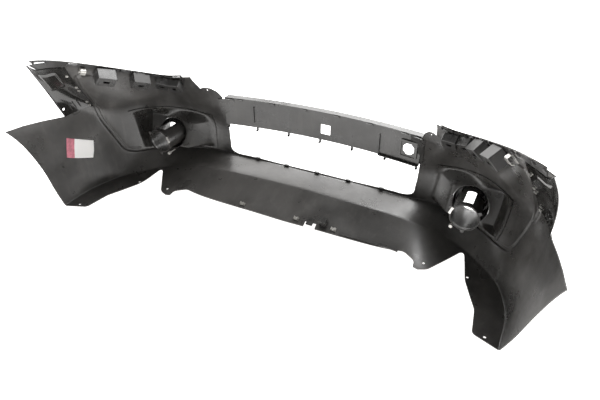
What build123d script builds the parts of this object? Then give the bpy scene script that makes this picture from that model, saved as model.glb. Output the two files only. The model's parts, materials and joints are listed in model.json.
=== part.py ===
from build123d import *
import os
import numpy as np

# Front bumper cover of a sport-utility vehicle: moulded fascia, grille crossbar and fitted brackets.
# The frame is +Z up, with the front of the vehicle at -Y and the vehicle's left side at +X.
# The origin is on the symmetry plane, at floor level, under the middle of the cover's length.

os.makedirs("parts", exist_ok=True)

# Driving dimensions, millimetres
DATUM_Y = 268.0            # from the fender datum, which the guide points use, to the origin
WALL = 3.0                 # moulded wall of the fascia
SHEET = 2.5                # wall of the bezels, brackets and retainers
GAP = 0.4                  # fitting gap between a bracket and the fascia

# Guide rows of the inner surface, for the left half. Each has the same stations, from the centre
# line round the corner to the wheel arch: (across, behind the fender datum, up)
LEDGE = [(0, -520, 440), (200, -515, 440), (425, -440, 440), (485, -392, 445), (590, -352, 448),
         (678, -195, 512), (745, -65, 560), (792, -12, 568), (838, 10, 552), (866, 45, 535), (888, 85, 520)]
BROW = [(0, -560, 380), (200, -556, 380), (418, -492, 372), (486, -448, 370), (600, -408, 385),
        (686, -275, 430), (758, -165, 455), (808, -115, 452), (851, -75, 430), (872, 10, 425), (896, 85, 420)]
WING_TOP = [(0, -590, 300), (200, -585, 300), (412, -525, 300), (487, -488, 310), (606, -450, 320),
            (692, -348, 330), (774, -262, 325), (822, -232, 320), (855, -133, 320), (877, -30, 322), (900, 85, 325)]
POCKET_TOP = [(0, -600, 200), (200, -594, 200), (409, -545, 215), (474, -536, 226), (612, -478, 256),
              (698, -392, 269), (776, -305, 255), (812, -235, 245), (844, -131, 240), (866, -30, 240), (889, 85, 240)]
BELT = [(0, -585, 120), (200, -579, 120), (402, -552, 150), (466, -541, 150), (606, -484, 155),
        (694, -403, 160), (768, -325, 155), (798, -240, 150), (829, -129, 150), (848, -30, 150), (866, 85, 150)]
CHANNEL = [(0, -552, 61), (200, -552, 61), (397, -546, 63), (460, -532, 76), (600, -468, 86),
           (682, -400, 92), (752, -330, 88), (786, -240, 85), (815, -127, 80), (829, -30, 80), (845, 85, 80)]
SHELF = [(0, -478, 68), (200, -477, 68), (405, -470, 66), (456, -463, 66), (590, -426, 58),
         (670, -374, 52), (741, -318, 42), (776, -239, 38), (808, -126, 35), (815, -30, 35), (826, 85, 35)]
FOLD = [(0, -402, 80), (200, -400, 77), (421, -395, 68), (470, -395, 60), (585, -387, 33),
        (662, -350, 20), (728, -300, 9), (770, -242, 3.5), (803, -124, 3), (804, -30, 3), (812, 85, 3)]
SKIRT = [(0, -345, 44), (200, -342, 42), (415, -338, 36), (462, -330, 33), (568, -312, 17),
         (638, -300, 9), (690, -275, 4.5), (716, -222, 3.2), (758, -126, 3), (765, -30, 3), (770, 85, 3)]
RIM = [(0, -262, -4), (200, -262, -4), (420, -262, -3), (460, -250, 1), (545, -225, 3),
       (605, -235, 3.5), (640, -235, 4), (655, -200, 3.2), (705, -130, 3), (715, -30, 3), (720, 85, 3)]
ROWS = [LEDGE, BROW, WING_TOP, POCKET_TOP, BELT, CHANNEL, SHELF, FOLD, SKIRT, RIM]
CHEEK_ROWS, SHELF_ROWS, SKIRT_ROWS = (0, 5), (5, 7), (7, 9)
LAST_STATION = 10
SKIN_TOP = 0.17            # the skin's top edge, in rows below the ledge line
SECTION_STEP = 0.5         # stations between the loft's sections

# Trim lines of the fascia, from the fender datum
BRACKET_LINE = [(105, 327), (85, 326), (15, 325), (-55, 318), (-133, 306.5), (-232, 320),
                (-120, 450), (-10, 552), (-10, 640), (105, 640)]
ARCH_LINE = [(81, 326), (56, 287), (27, 212), (10, 127), (6, 60), (-1, -5)]
REAR_EDGE = [(0, -278), (200, -280), (446, -289), (490, -262), (494, -226), (540, -242), (620, -358),
             (632, -356), (646, -306), (660, -247), (690, -178), (713, -128), (725, -30), (808, 2)]
OPENING_HALF = 394         # half width of the lower grille opening at its foot
OPENING_TOP_HALF = 404     # and at its top
OPENING_FLOOR = 66
OPENING_TOP = 209
OPENING_CORNER = 62
SHOULDER = [(404, 209), (405, 324), (417, 352), (434, 370), (452, 375), (463, 370), (468, 410), (470, 700), (0, 700)]
SHOULDER_HOLE = (443, 361, 3)                       # across, up, radius

# Fog-lamp pocket, in stations and rows of the guide net
POCKET_STATIONS = (3.0, 5.42)
POCKET_ROWS = (3.0, 4.88)
FLOOR_POINT = (534, -479, 214)
FLOOR_SLOPE_X = 0.16       # the pocket's flat floor: how far it runs back, across
FLOOR_SLOPE_Z = -0.35      # and upward
FOG_X, FOG_Z = 610.0, 158.0
BUCKET_RADIUS = 62.0
BUCKET_FRONT = -484.0
TUBE_RADIUS = 44.0         # bore that the fog lamp fits
TUBE_REAR = -356.0
WINDOW_WIDTH, WINDOW_LENGTH = 30.0, 76.0            # opening in the top of the tube

# Grille crossbar
BAR_CENTRE_Y = -575.0
BAR_RADIUS = 2111.0
BAR_HALF = 402.0
BAR_FOOT, BAR_TOP = 205.0, 320.0
BAR_FLANGE = 30.0
TOW_X, TOW_Z, TOW_HOLE = -359.0, 260.0, 42.0
SENSOR_X, SENSOR_Z, SENSOR_HOLE = -23.5, 250.0, 40.0
HOOK_PITCH = 135.0
HOOKS = 7
LEDGE_SPAN = (-400.0, -245.0)                       # small rearward ledge at the bar's foot
BAR_RIBS = ((-244, 205, 286), (280, 228, 292))      # x, foot, top
END_STATIONS, END_ROWS = (1.8, 2.08), (1.8, 3.02)   # end flange that laps the cheek's edge

# Headlamp ledge
RETAINER_STATIONS = (3.02, 7.08)
RETAINER_ROWS = (0.0, 0.34)
RETAINER_SLOTS = (3.2, 3.55, 3.92, 4.3, 4.6, 5.62, 6.7)
SLOT_ROW = 0.12
SLOT_LENGTH, SLOT_WIDTH = 32.0, 10.0
LAMP_GUIDES = ((3.32, 46, 28), (3.83, 48, 28), (4.42, 64, 40), (5.1, 68, 44))   # station, width, depth
GUIDE_ROW = 0.44
GUIDE_HEIGHT = 46.0
GUIDE_SEAT = 6.5           # over the skin, clear of the retainer
SPRING_WIRE = 1.6
SPRING_STATION = 5.6

# Side brackets, which fill the notch between the cheek and the wing
BRACKET_REAR = [(815, -8, 551), (838, -52, 482), (849, -88, 412), (851, -110, 360), (851, -133, 308)]
BRACKET_ROWS = (0.37, 2.03)
BRACKET_FRONT = (5.99, 6.72)                        # stations of the front edge, top and foot
BRACKET_LAP = 7.1          # station up to which it lies close to the skin
BRACKET_HOLE = (0.86, 0.12, 9)                      # along, across, size
BRACKET_SCREWS = ((6.86, 1.92), (6.84, 1.78), (6.5, 1.33), (6.44, 1.2), (6.28, 0.75))
SCREW_HOLE, SCREW_SHANK, SCREW_HEAD, SCREW_SEAT = 2.6, 2.2, 5.0, 4.4

# Skirt and wing flanges
FLANGE_HOLES = ((761, -30), (665, -262), (522, -262))
FLANGE_HOLE = 4.5
TAB_X, NOTCH_WIDTH, NOTCH_DEPTH = -96.0, 44.0, 24.0
SKIRT_INDEX = 8
SKIRT_CLIPS = (190, -40, -187)
POST_X = -148.0
STRIP_STATIONS = (-2.2, -1.05)

# Label corners, in stations and rows
LABEL_CORNERS = ((8.17, 3.12), (7.28, 3.62), (7.5, 4.42), (8.42, 3.9))
LABEL_THICK = 0.5


def natural_spline(knots, values, query):
    """Natural cubic spline through values at the knots, read at the query points."""
    count, steps = len(knots), np.diff(knots)
    system, right = np.eye(count), np.zeros_like(values)
    for i in range(1, count - 1):
        system[i, i - 1:i + 2] = steps[i - 1], 2 * (steps[i - 1] + steps[i]), steps[i]
        after = (values[i + 1] - values[i]) / steps[i]
        before = (values[i] - values[i - 1]) / steps[i - 1]
        right[i] = 6 * (after - before)
    bend = np.linalg.solve(system, right.reshape(count, -1)).reshape(values.shape)
    span = np.clip(np.searchsorted(knots, query, side="right") - 1, 0, count - 2)
    column = (-1,) + (1,) * (values.ndim - 1)
    past = (query - knots[span]).reshape(column)
    step = steps[span].reshape(column)
    ahead = step - past
    return ((bend[span] * ahead**3 + bend[span + 1] * past**3) / (6 * step)
            + (values[span] / step - bend[span] * step / 6) * ahead
            + (values[span + 1] / step - bend[span + 1] * step / 6) * past)


def whole_net():
    """Guide points of both halves: rows, stations from right to left, coordinates."""
    half = np.array(ROWS, float)
    half[..., 1] += DATUM_Y
    return np.concatenate([half[:, :0:-1] * (-1, 1, 1), half], axis=1)


NET = whole_net()
STATION_KNOTS = np.concatenate([[0], np.cumsum(np.linalg.norm(np.diff(NET, axis=1), axis=2)[3:8].mean(0))])
ROW_KNOTS = np.concatenate([[0], np.cumsum(np.linalg.norm(np.diff(NET, axis=0), axis=2).mean(1))])


def skin(station, row, span=CHEEK_ROWS):
    """Point of the inner surface at a station (negative on the right) and a row, as an array."""
    place = np.interp([station + LAST_STATION], range(len(STATION_KNOTS)), STATION_KNOTS)
    column = natural_spline(STATION_KNOTS, NET.transpose(1, 0, 2), place)[0]
    first, last = span
    where = np.interp([row], range(len(ROW_KNOTS)), ROW_KNOTS)
    return natural_spline(ROW_KNOTS[first:last + 1], column[first:last + 1], where)[0]


def inward(station, row, span=CHEEK_ROWS, reach=0.02):
    """Unit normal of the inner surface, pointing into the vehicle."""
    low, high = max(station - reach, -LAST_STATION), min(station + reach, LAST_STATION)
    top, foot = max(row - reach, span[0]), min(row + reach, span[1])
    across = skin(high, row, span) - skin(low, row, span)
    down = skin(station, foot, span) - skin(station, top, span)
    normal = np.cross(down, across) * -1
    return normal / np.linalg.norm(normal)


def raised(station, row, height, span=CHEEK_ROWS):
    """Point at a height over the inner surface."""
    return Vector(*(skin(station, row, span) + height * inward(station, row, span)))


def local_plane(station, row, height=0.0):
    """Plane on the cheek's inner surface: x outboard along the row, z into the vehicle."""
    across = skin(station + 0.1, row) - skin(station - 0.1, row)
    return Plane(raised(station, row, height), x_dir=Vector(*across), z_dir=Vector(*inward(station, row)))


def sheet(points, thickness, facing, tol=0.05):
    """Solid of one wall thickness on a smooth surface through rows of points."""
    face = Face.make_surface_from_array_of_points(points, tol=tol, min_deg=3, max_deg=5)
    return Solid.thicken(face, thickness, normal_override=facing)


def finish(builder, name):
    """Label a finished piece and write it."""
    builder.part.label = name
    export_step(builder.part, f"parts/{name}.step")


def finish_pair(builder, name):
    """Write a piece of the left side, and its mirror image for the right."""
    twin = mirror(builder.part, about=Plane.YZ)
    for part, side in ((builder.part, "left"), (twin, "right")):
        part.label = f"{name}_{side}"
        export_step(part, f"parts/{name}_{side}.step")


# ---------------------------------------------------------------- fascia
def fascia_section(station):
    """Closed outline of the moulded wall at one station."""
    spans = (CHEEK_ROWS, SHELF_ROWS, SKIRT_ROWS)
    row_lists = (np.linspace(SKIN_TOP, 5, 9), np.linspace(5, 7, 4), np.linspace(7, 9, 4))
    inner = [[skin(station, row, span) for row in rows] for rows, span in zip(row_lists, spans)]
    normals = [[inward(station, row, span) for row in rows] for rows, span in zip(row_lists, spans)]
    for upper, lower in zip(normals, normals[1:]):
        mitre = (upper[-1] + lower[0]) / (1 + upper[-1] @ lower[0])
        upper[-1] = lower[0] = mitre
    if abs(station) == LAST_STATION:
        normals = [[normal * (1, 0, 1) for normal in span] for span in normals]
    outer = [[point - WALL * normal for point, normal in zip(*pair)] for pair in zip(inner, normals)]
    inner = [[Vector(*point) for point in span] for span in inner]
    outer = [[Vector(*point) for point in reversed(span)] for span in reversed(outer)]
    foot = Edge.make_line(inner[-1][-1], outer[0][0])
    top = Edge.make_line(outer[-1][-1], inner[0][0])
    return Wire([*map(Edge.make_spline, inner), foot, *map(Edge.make_spline, outer), top])


def side_cut(points, inside=785.0, outside=960.0, curve=False):
    """Prisms across both wings with an outline in the side view."""
    path = [(y + DATUM_Y, z) for y, z in points]
    with BuildPart() as cut:
        for start in (inside, -outside):
            with BuildSketch(Plane.YZ.offset(start)):
                with BuildLine():
                    if curve:
                        Spline(path)
                        Polyline(path[-1], (path[-1][0] + 120, path[-1][1]), (path[-1][0] + 120, path[0][1]),
                                 path[0])
                    else:
                        Polyline(*path, close=True)
                make_face()
            extrude(amount=outside - inside)
    return cut.part


def rear_cut():
    """Prism behind the rear edge of the skirt and the wing flanges."""
    right = [(-x, y + DATUM_Y) for x, y in reversed(REAR_EDGE[1:])]
    left = [(x, y + DATUM_Y) for x, y in REAR_EDGE]
    with BuildPart() as cut:
        with BuildSketch(Plane.XY.offset(-40)):
            with BuildLine():
                Polyline((-808, 400), *right, *left, (808, 400), close=True)
            make_face()
        extrude(amount=92)
    return cut.part


def opening_cut():
    """The lower grille opening, and the space above the crossbar between the cheeks."""
    foot = OPENING_FLOOR + OPENING_CORNER
    with BuildPart() as cut:
        with BuildSketch(Plane.XZ.offset(520 - DATUM_Y)) as low:
            with BuildLine():
                Polyline((0, OPENING_FLOOR), (OPENING_HALF, OPENING_FLOOR), (OPENING_HALF + 6, foot),
                         (OPENING_TOP_HALF, OPENING_TOP), (0, OPENING_TOP), (0, OPENING_FLOOR))
            make_face()
            fillet(low.vertices().filter_by(lambda v: v.Y < foot - 1 and v.X > 300), OPENING_CORNER)
            mirror(about=Plane.YZ)
        extrude(amount=200)
        with BuildSketch(Plane.XZ.offset(300 - DATUM_Y)):
            with BuildLine():
                Polyline((0, foot), (OPENING_HALF + 6, foot), *SHOULDER, (0, foot))
            make_face()
            mirror(about=Plane.YZ)
        extrude(amount=420)
        x, z, radius = SHOULDER_HOLE
        with BuildSketch(Plane.XZ.offset(300 - DATUM_Y)):
            with Locations((x, z), (-x, z)):
                Circle(radius)
        extrude(amount=420)
    return cut.part


def pocket_outline():
    """Front-view outline of the left fog-lamp pocket."""
    first, last = POCKET_STATIONS
    top, foot = POCKET_ROWS
    runs = [[skin(s, top) for s in np.linspace(first, last, 6)], [skin(last, r) for r in np.linspace(top, foot, 4)],
            [skin(s, foot) for s in np.linspace(last, first, 6)], [skin(first, r) for r in np.linspace(foot, top, 4)]]
    return [[(point[0], point[2]) for point in run] for run in runs]


def pocket_cut():
    """Prism that opens the skin at the left fog-lamp pocket."""
    with BuildPart() as cut:
        with BuildSketch(Plane.XZ.offset(250 - DATUM_Y)) as outline:
            with BuildLine():
                for run in pocket_outline():
                    Spline(run)
            make_face()
            fillet(outline.vertices(), 14)
        extrude(amount=400)
    return cut.part


def push(points, radius, length, facing):
    """Short cylinders standing on points, each along its own direction."""
    with BuildPart() as group:
        for point, direction in zip(points, facing):
            with BuildSketch(Plane(point, z_dir=direction)):
                Circle(radius)
            extrude(amount=length)
    return group.part


def screw_cut():
    """Holes for the left side bracket's screws, through bracket and skin."""
    points = [raised(station, row, -8) for station, row in BRACKET_SCREWS]
    return push(points, SCREW_HOLE, 20, [Vector(*inward(*place)) for place in BRACKET_SCREWS])


def flange_cut():
    """Bolt holes in the wing flanges and in the skirt's lobes."""
    with BuildPart() as cut:
        with BuildSketch(Plane.XY.offset(-20)):
            with Locations(*[(side * x, y + DATUM_Y) for x, y in FLANGE_HOLES for side in (1, -1)]):
                Circle(FLANGE_HOLE)
            with Locations((TAB_X, REAR_EDGE[0][1] + DATUM_Y - NOTCH_DEPTH / 2 + 4)):
                Rectangle(NOTCH_WIDTH, NOTCH_DEPTH)
        extrude(amount=60)
    return cut.part


def build_fascia():
    stations = np.arange(-LAST_STATION, LAST_STATION + SECTION_STEP, SECTION_STEP)
    shell = Solid.make_loft([fascia_section(station) for station in stations])
    cuts = [side_cut(BRACKET_LINE), side_cut(ARCH_LINE, curve=True), rear_cut(), opening_cut(), flange_cut()]
    for cut in (pocket_cut(), screw_cut()):
        cuts += [cut, mirror(cut, about=Plane.YZ)]
    with BuildPart() as fascia:
        add(shell)
        add(cuts, mode=Mode.SUBTRACT)
    finish(fascia, "fascia")


# ---------------------------------------------------------------- grille crossbar
def bar_band(foot, height, inner, outer, low=-BAR_HALF, high=BAR_HALF):
    """A slice of the bar's curved plan: inner and outer are distances ahead of its rear face."""
    with BuildPart() as band:
        with BuildSketch(Plane.XY.offset(foot)):
            with Locations((0, BAR_CENTRE_Y + BAR_RADIUS + DATUM_Y)):
                Circle(BAR_RADIUS + outer)
                Circle(BAR_RADIUS + inner, mode=Mode.SUBTRACT)
            with Locations(((low + high) / 2, BAR_CENTRE_Y + DATUM_Y)):
                Rectangle(high - low, 400, mode=Mode.INTERSECT)
        extrude(amount=height)
    return band.part


def bar_face(x):
    """Y of the bar's rear face."""
    return BAR_CENTRE_Y + DATUM_Y + BAR_RADIUS - (BAR_RADIUS**2 - x**2)**0.5


def build_crossbar():
    step = BAR_TOP - 4 * WALL
    bands = [bar_band(BAR_FOOT, BAR_TOP - BAR_FOOT, 0, WALL),
             bar_band(BAR_TOP - WALL, WALL, 0, BAR_FLANGE),
             bar_band(step, 4 * WALL, BAR_FLANGE - WALL, BAR_FLANGE),
             bar_band(step, WALL, BAR_FLANGE - WALL, BAR_FLANGE + 4 * WALL),
             bar_band(BAR_FOOT, WALL, 0, BAR_FLANGE / 2),
             bar_band(BAR_FOOT, WALL, -4 * WALL, WALL, *LEDGE_SPAN)]
    for rib_x, foot, top in BAR_RIBS:
        bands.append(bar_band(foot, top - foot, -2 * WALL, WALL, rib_x - WALL / 2, rib_x + WALL / 2))
    rows = np.linspace(*END_ROWS, 7)
    points = [[raised(station, row, 1) for station in np.linspace(*END_STATIONS, 5)] for row in rows]
    flange = sheet(points, SHEET, (0, 1, 0))
    with BuildPart() as bar:
        add(bands)
        add([flange, mirror(flange, about=Plane.YZ)])
        with BuildSketch(Plane.XZ):
            with Locations((SENSOR_X, SENSOR_Z)):
                RectangleRounded(SENSOR_HOLE, SENSOR_HOLE, 3)
            with Locations((TOW_X, TOW_Z)):
                RectangleRounded(TOW_HOLE + 6, TOW_HOLE + 6, 4)
        extrude(amount=400, mode=Mode.SUBTRACT)
    finish(bar, "grille_crossbar")


def build_tow_eye_frame():
    """Square frame with an eight-sided hole, seated on the bar's rear face."""
    slope = TOW_X / BAR_RADIUS
    face = Plane((TOW_X, bar_face(TOW_X) + 0.5, TOW_Z), x_dir=(1, slope, 0), z_dir=(-slope, 1, 0))
    with BuildPart() as frame:
        with BuildSketch(face):
            RectangleRounded(TOW_HOLE + 24, TOW_HOLE + 24, 5)
            RegularPolygon(TOW_HOLE / 2, 8, major_radius=False, rotation=22.5, mode=Mode.SUBTRACT)
        extrude(amount=2 * WALL)
        with BuildSketch(face.offset(WALL)):
            RectangleRounded(TOW_HOLE + 14, TOW_HOLE + 14, 3)
        extrude(amount=WALL, mode=Mode.SUBTRACT)
    finish(frame, "tow_eye_frame")


def build_bar_clips():
    """Snap hooks under the bar, tabs under its top flange and saddle clips on the opening's foot."""
    places = [(i - (HOOKS - 1) / 2) * HOOK_PITCH for i in range(HOOKS)]
    with BuildPart() as hooks:
        for x in places:
            hook_x = min(max(x, 8 - BAR_HALF), BAR_HALF - 8)
            with BuildSketch(Plane.YZ.offset(hook_x - 4.5)):
                with Locations((bar_face(hook_x) - 4, BAR_FOOT)):
                    Rectangle(WALL, 15, align=(Align.MAX, Align.MAX))
                with Locations((bar_face(hook_x) - 7, BAR_FOOT - 15)):
                    Rectangle(12, WALL, align=(Align.MIN, Align.MIN))
            extrude(amount=9)
    finish(hooks, "grille_hooks")
    with BuildPart() as tabs:
        for x in places[:-1]:
            middle = x + HOOK_PITCH / 2
            with BuildSketch(Plane.XY.offset(BAR_TOP - 3 * WALL)):
                with Locations((middle, bar_face(middle) + 2.4)):
                    Rectangle(24, 4, align=(Align.CENTER, Align.MIN))
            extrude(amount=2 * WALL)
    finish(tabs, "grille_top_tabs")
    with BuildPart() as saddles:
        for x in places[1:-1]:
            lip = skin(np.interp(x, NET[5, :, 0], range(-LAST_STATION, LAST_STATION + 1)), 5)[1] - WALL / 2
            with BuildSketch(Plane.YZ.offset(x - 9)):
                with Locations((lip, OPENING_FLOOR + WALL / 2)):
                    Rectangle(3 * WALL, 2 * WALL)
                with Locations((lip, OPENING_FLOOR)):
                    Rectangle(WALL + 2, 2 * WALL, mode=Mode.SUBTRACT)
            extrude(amount=18)
    finish(saddles, "lower_grille_clips")


# ---------------------------------------------------------------- headlamp ledge
def build_retainer():
    """Slotted strip that stands off the headlamp edge of the cheek."""
    points = [[raised(s, r, 1.5 * GAP) for s in np.linspace(*RETAINER_STATIONS, 25)]
              for r in np.linspace(*RETAINER_ROWS, 5)]
    middle = (RETAINER_STATIONS[0] + RETAINER_STATIONS[1]) / 2
    with BuildPart() as retainer:
        add(sheet(points, SHEET, inward(middle, 0.2)))
        for station in RETAINER_SLOTS:
            with BuildSketch(local_plane(station, SLOT_ROW)):
                Rectangle(SLOT_LENGTH, SLOT_WIDTH)
            extrude(amount=12, both=True, mode=Mode.SUBTRACT)
    finish_pair(retainer, "headlamp_retainer")


def build_lamp_guides():
    """Box guides below the retainer, open inside, each with a slot for a tongue of the lamp."""
    for number, (station, width, depth) in enumerate(LAMP_GUIDES, start=1):
        seat = local_plane(station, GUIDE_ROW, GUIDE_SEAT)
        with BuildPart() as guide:
            with BuildSketch(seat):
                RectangleRounded(width, GUIDE_HEIGHT, 3)
            extrude(amount=depth)
            rim = guide.edges().group_by(Axis(seat.origin, seat.z_dir))[-1]
            chamfer(rim, 1)
            with BuildSketch(seat):
                RectangleRounded(width - 2 * SHEET, GUIDE_HEIGHT - 2 * SHEET, 2)
            extrude(amount=depth - SHEET, mode=Mode.SUBTRACT)
            with BuildSketch(seat.offset(depth - SHEET)):
                Rectangle(width / 3, GUIDE_HEIGHT / 4)
            extrude(amount=SHEET, mode=Mode.SUBTRACT)
        finish_pair(guide, f"lamp_guide_{number}")


def build_ledge_spring():
    """Bent spring clip near the outboard end of the headlamp ledge."""
    seat = local_plane(SPRING_STATION, GUIDE_ROW, GUIDE_SEAT)
    with BuildPart() as spring:
        with BuildSketch(Plane(seat.origin, x_dir=seat.z_dir, z_dir=seat.x_dir)):
            with BuildLine():
                FilletPolyline((0, -14), (0, 16), (17, 16), (17, -4), (10, -11), radius=4)
            trace(line_width=SPRING_WIRE)
        extrude(amount=9, both=True)
    finish_pair(spring, "ledge_spring_clip")


# ---------------------------------------------------------------- side brackets
def bracket_point(along, across):
    """Point of the side bracket: along runs from its top to its foot, across from rear to front."""
    rear = np.array([[x, y + DATUM_Y, z] for x, y, z in BRACKET_REAR])
    rear = natural_spline(np.linspace(0, 1, len(rear)), rear, np.array([along]))[0]
    row = BRACKET_ROWS[0] + (BRACKET_ROWS[1] - BRACKET_ROWS[0]) * along
    front = BRACKET_FRONT[0] + (BRACKET_FRONT[1] - BRACKET_FRONT[0]) * along
    lapped = zip(np.linspace(BRACKET_LAP, front, 4), (4 * GAP, 3 * GAP, 3 * GAP, 2 * GAP))
    ribbon = np.array([rear, *[[*raised(station, row, height)] for station, height in lapped]])
    run = np.concatenate([[0], np.cumsum(np.linalg.norm(np.diff(ribbon, axis=0), axis=1))])
    return Vector(*natural_spline(run / run[-1], ribbon, np.array([across]))[0])


def build_side_bracket():
    points = [[bracket_point(along, across) for across in np.linspace(0, 1, 9)]
              for along in np.linspace(0, 1, 13)]
    plate = sheet(points, SHEET, (-1, 0, 0))
    holes = screw_cut()
    with BuildPart() as bracket:
        add(plate)
        add(holes, mode=Mode.SUBTRACT)
        along, across, size = BRACKET_HOLE
        spot = bracket_point(along, across)
        with BuildSketch(Plane((spot.X - 25, spot.Y, spot.Z), x_dir=(0, 1, 0), z_dir=(1, 0, 0))):
            RectangleRounded(size, size, size / 2 - 0.5)
        extrude(amount=50, mode=Mode.SUBTRACT)
        for step in range(3):
            foot = bracket_point(0.93, 0.34 + 0.14 * step)
            top = bracket_point(0.78, 0.34 + 0.14 * step)
            run = top - foot
            with BuildSketch(Plane(foot + Vector(-SHEET / 2, 0, 0), x_dir=(1, 0, 0), z_dir=run)):
                with Locations((-3.5, 0)):
                    Rectangle(7, 2)
            extrude(amount=run.length)
    finish_pair(bracket, "side_bracket")


def build_bracket_screws():
    """Pan-head screws that hold the side bracket to the skin."""
    facing = [Vector(*inward(s, r)) for s, r in BRACKET_SCREWS]
    heads = push([raised(s, r, SCREW_SEAT) for s, r in BRACKET_SCREWS], SCREW_HEAD, 2.5, facing)
    shanks = push([raised(s, r, -WALL - 2) for s, r in BRACKET_SCREWS], SCREW_SHANK, SCREW_SEAT + WALL + 2,
                  facing)
    with BuildPart() as screws:
        add(heads)
        add(shanks)
    finish_pair(screws, "bracket_screws")


# ---------------------------------------------------------------- fog-lamp pockets
def smooth(value):
    """Ramp from 0 to 1 with level ends."""
    value = min(max(value, 0.0), 1.0)
    return value * value * (3 - 2 * value)


def floor_y(x, z):
    """Y of the pocket's flat floor."""
    x_0, y_0, z_0 = FLOOR_POINT
    return y_0 + DATUM_Y + FLOOR_SLOPE_X * (abs(x) - x_0) + FLOOR_SLOPE_Z * (z - z_0)


def pocket_point(across, down):
    """Point of the bezel: 0 to 1 from the inboard to the outboard edge, and from the top to the foot."""
    station = POCKET_STATIONS[0] + (POCKET_STATIONS[1] - POCKET_STATIONS[0]) * across
    row = POCKET_ROWS[0] + (POCKET_ROWS[1] - POCKET_ROWS[0]) * down
    point = np.array([*raised(station, row, 2 * GAP)])
    share = smooth(across / 0.24) * smooth((1 - across) / 0.12) * smooth(down / 0.24) * smooth((1 - down) / 0.14)
    point[1] += share * (floor_y(point[0], point[2]) - point[1])
    return Vector(*point)


def build_fog_bezel():
    """Picture-frame wall and flat floor, lapped behind the skin, with a round hole for the bucket."""
    lap = 0.04
    points = [[pocket_point(across, down) for across in np.linspace(-lap, 1 + lap, 49)]
              for down in np.linspace(-lap, 1 + lap, 37)]
    with BuildPart() as bezel:
        add(sheet(points, SHEET, (0, 1, 0), tol=0.1))
        with BuildSketch(Plane.XZ.offset(250 - DATUM_Y)):
            with Locations((FOG_X, FOG_Z)):
                Circle(BUCKET_RADIUS + GAP)
        extrude(amount=400, mode=Mode.SUBTRACT)
    finish_pair(bezel, "fog_bezel")


def build_fog_bucket():
    """Dish in the pocket's floor with the fog lamp's tube standing back from its bottom."""
    front = BUCKET_FRONT + DATUM_Y
    rear = TUBE_REAR + DATUM_Y
    tube_wall = TUBE_RADIUS + SHEET
    floor = Plane((FOG_X, floor_y(FOG_X, FOG_Z) + SHEET + 1, FOG_Z), x_dir=(1, FLOOR_SLOPE_X, 0),
                  z_dir=(-FLOOR_SLOPE_X, 1, -FLOOR_SLOPE_Z))
    with BuildPart() as bucket:
        with BuildSketch(Plane((FOG_X, 0, FOG_Z), x_dir=(1, 0, 0), z_dir=(0, 0, 1))):
            with BuildLine():
                Polyline((tube_wall, front), (BUCKET_RADIUS - 8, front), (BUCKET_RADIUS, front + 8),
                         (BUCKET_RADIUS, rear), (BUCKET_RADIUS - SHEET, rear), (BUCKET_RADIUS - SHEET, front + 9),
                         (BUCKET_RADIUS - 9, front + SHEET), (tube_wall, front + SHEET), close=True)
            make_face()
        revolve(axis=Axis((FOG_X, 0, FOG_Z), (0, 1, 0)))
        split(bisect_by=floor, keep=Keep.BOTTOM)
        with BuildSketch(Plane((FOG_X, front, FOG_Z), x_dir=(1, 0, 0), z_dir=(0, 1, 0))):
            Circle(tube_wall)
            Circle(TUBE_RADIUS, mode=Mode.SUBTRACT)
        extrude(amount=rear - front)
        with BuildSketch(Plane((FOG_X, (front + rear) / 2, FOG_Z), x_dir=(1, 0, 0), z_dir=(0, 0, 1))):
            with Locations((0, 4)):
                RectangleRounded(WINDOW_WIDTH, WINDOW_LENGTH, 6)
        extrude(amount=tube_wall + 5, mode=Mode.SUBTRACT)
        with BuildSketch(Plane((FOG_X, rear, FOG_Z), x_dir=(1, 0, 0), z_dir=(0, -1, 0))):
            Circle(tube_wall + 2.5)
            Circle(TUBE_RADIUS, mode=Mode.SUBTRACT)
        extrude(amount=5)
        for turn in (30, 150, 270):
            with BuildSketch(Plane((FOG_X, rear, FOG_Z), x_dir=(1, 0, 0), z_dir=(0, -1, 0))):
                with PolarLocations(tube_wall + 6, 1, start_angle=turn):
                    RectangleRounded(12, 14, 3)
                with PolarLocations(tube_wall + 7, 1, start_angle=turn):
                    Circle(2, mode=Mode.SUBTRACT)
                Circle(TUBE_RADIUS, mode=Mode.SUBTRACT)
            extrude(amount=4)
    finish_pair(bucket, "fog_bucket")


def build_fog_spring():
    """Wire-form retaining spring beside the tube's rear ring."""
    rear = TUBE_REAR + DATUM_Y
    with BuildPart() as spring:
        with BuildSketch(Plane((FOG_X, rear + 0.2, FOG_Z), x_dir=(1, 0, 0), z_dir=(0, 1, 0))):
            with PolarLocations(TUBE_RADIUS + SHEET + 1, 1, start_angle=200):
                RectangleRounded(9, 26, 2)
            Circle(TUBE_RADIUS + 0.5, mode=Mode.SUBTRACT)
        extrude(amount=1.6)
    finish_pair(spring, "fog_spring")


def build_fog_adjuster():
    """Aim-adjusting screw with its knurled head, below the tube."""
    rear = TUBE_REAR + DATUM_Y
    x, z = FOG_X - 38, FOG_Z - 46
    with BuildPart() as adjuster:
        with BuildSketch(Plane((x, rear - 42, z), x_dir=(1, 0, 0), z_dir=(0, 1, 0))):
            Circle(2.5)
        extrude(amount=34)
        with BuildSketch(Plane((x, rear - 10, z), x_dir=(1, 0, 0), z_dir=(0, 1, 0))):
            Circle(6)
            with PolarLocations(6.2, 12):
                Circle(0.7, mode=Mode.SUBTRACT)
        extrude(amount=9)
    finish_pair(adjuster, "fog_adjuster")


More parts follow.
